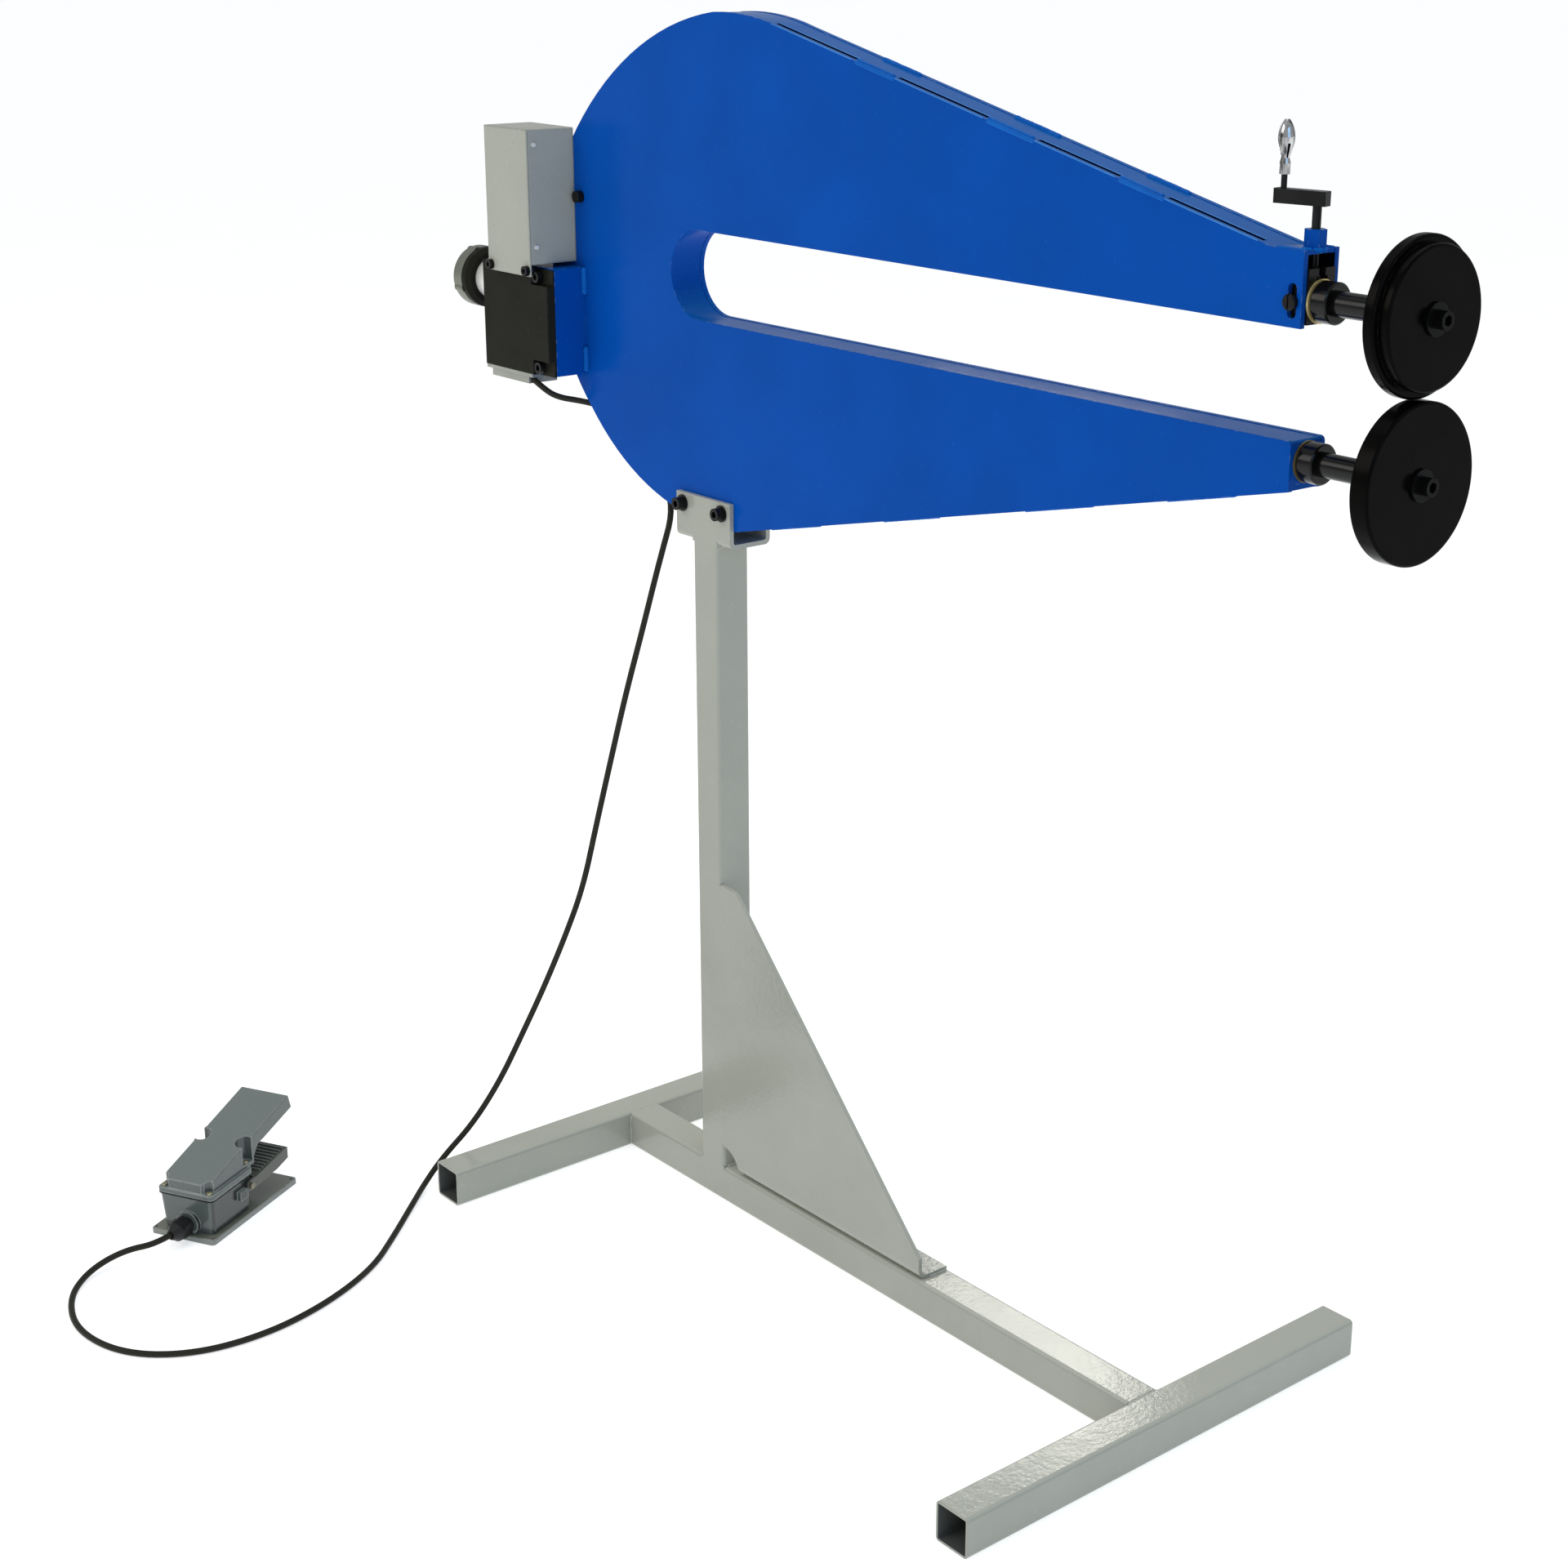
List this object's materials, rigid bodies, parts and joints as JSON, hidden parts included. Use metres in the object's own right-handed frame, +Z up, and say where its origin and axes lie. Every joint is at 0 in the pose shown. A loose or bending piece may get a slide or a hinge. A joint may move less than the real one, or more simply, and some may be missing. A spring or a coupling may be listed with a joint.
{
  "type": "rotary bead roller",
  "caption": "Motor-driven bead roller: a deep-throat C-frame of two plates on a tube stand carries two forming rolls, a crank-set upper slide and a cabled foot pedal.",
  "frame": {"origin": "on the floor under the middle of the column, on the underside of the base spine tube", "axes": "+X along the throat towards the rolls, +Z up, -Y the side with the motor, control box and pedal"},
  "size_m": [1.573, 1.1589, 1.5552],
  "materials": {
    "grey_paint": "glossy grey enamel",
    "blue_paint": "glossy blue enamel",
    "black_steel": "black oxide",
    "roll_steel": "satin black oxide",
    "roll_hardware": "black oxide",
    "bronze": "machined",
    "chrome": "polished",
    "gear_steel": "machined",
    "black_paint": "satin black",
    "cast_alloy": "as cast",
    "box_paint": "satin grey",
    "zinc": "bright zinc",
    "pedal_paint": "glossy grey on cast alloy",
    "yellow_zinc": "yellow zinc",
    "black_rubber": "smooth",
    "black_plastic": "moulded nylon"
  },
  "bodies": {
    "stand": {"base_front_tube": "grey_paint", "base_rear_tube": "grey_paint", "base_spine_tube": "grey_paint", "column": "grey_paint", "gusset": "grey_paint", "saddle": "grey_paint", "frame_near_plate": "blue_paint", "frame_far_plate": "blue_paint", "frame_top_strip": "blue_paint", "frame_bottom_strip": "blue_paint", "throat_strip": "blue_paint", "crank_nut": "blue_paint", "drive_bracket": "blue_paint", "lower_nose_block": "blue_paint", "saddle_bolts": "black_steel", "saddle_washers": "black_steel", "tie_bolt": "black_steel", "gear_head_screws": "black_steel", "control_box_bolts": "black_steel", "rear_bearing_block": "black_steel", "lower_bush": "bronze", "rear_bush": "bronze", "gear_head": "black_paint", "motor_can": "black_paint", "motor_adapter": "cast_alloy", "motor_end_bell": "cast_alloy", "gear_head_foot": "cast_alloy", "control_box": "box_paint", "control_box_panel": "box_paint", "control_box_screws": "zinc", "pedal_base": "pedal_paint", "pedal_case": "pedal_paint", "pedal_hood": "pedal_paint", "pedal_hood_screws": "yellow_zinc", "pedal_pivot_screws": "yellow_zinc", "pedal_gasket": "black_rubber", "pedal_cable": "black_rubber", "pedal_gland": "black_plastic"},
    "lower_roller": {"lower_shaft": "black_steel", "lower_collar": "black_steel", "lower_roll": "roll_steel", "lower_roll_washer": "roll_hardware", "lower_roll_screw": "roll_hardware", "lower_cone_gear": "gear_steel"},
    "output": {"output_shaft": "gear_steel", "output_cone_gear": "gear_steel"},
    "upper_slide": {"slide_block": "black_steel", "upper_bush": "bronze", "guide_screws": "black_steel"},
    "upper_roller": {"upper_shaft": "black_steel", "upper_collar": "black_steel", "upper_keeper_ring": "black_steel", "upper_roll": "roll_steel", "upper_roll_washer": "roll_hardware", "upper_roll_screw": "roll_hardware"},
    "crank": {"crank_screw": "black_steel", "crank_arm": "black_steel", "grip_stem": "black_steel"},
    "grip": {"crank_grip": "chrome"},
    "treadle": {"pedal_treadle": "pedal_paint"}
  },
  "joints": [
    {"name": "lower_spin", "type": "hinge", "parent": "stand", "child": "lower_roller", "pos_m": [0, 0.0065, 1.1665], "axis": [1, 0, 0], "continuous": true},
    {"name": "output_spin", "type": "hinge", "parent": "stand", "child": "output", "pos_m": [-0.3, 0.0065, 1.1665], "axis": [0, 1, 0], "continuous": true},
    {"name": "upper_lift", "type": "slide", "parent": "stand", "child": "upper_slide", "axis": [0, 0, 1], "range_m": [0, 0.009]},
    {"name": "upper_spin", "type": "hinge", "parent": "upper_slide", "child": "upper_roller", "pos_m": [0, 0.0065, 1.3225], "axis": [1, 0, 0], "continuous": true},
    {"name": "crank_turn", "type": "hinge", "parent": "upper_slide", "child": "crank", "pos_m": [0.93, 0.0065, 1.3225], "axis": [0, 0, 1], "range_deg": [0, 2161]},
    {"name": "grip_spin", "type": "hinge", "parent": "crank", "child": "grip", "pos_m": [0.89381, -0.00119, 1.44], "axis": [0, 0, 1], "continuous": true},
    {"name": "pedal_press", "type": "hinge", "parent": "stand", "child": "treadle", "pos_m": [-0.38631, -0.55435, 0.045], "axis": [-0.8846, -0.4664, 0], "range_deg": [0, 9], "stiffness_Nm_per_rad": 3, "springref_deg": -14.32}
  ],
  "couplings": [
    {"joint": "output_spin", "follows": "lower_spin", "ratio": 1},
    {"joint": "upper_spin", "follows": "lower_spin", "ratio": -1.0327},
    {"joint": "crank_turn", "follows": "upper_lift", "rad_per_m": 4188.8}
  ]
}
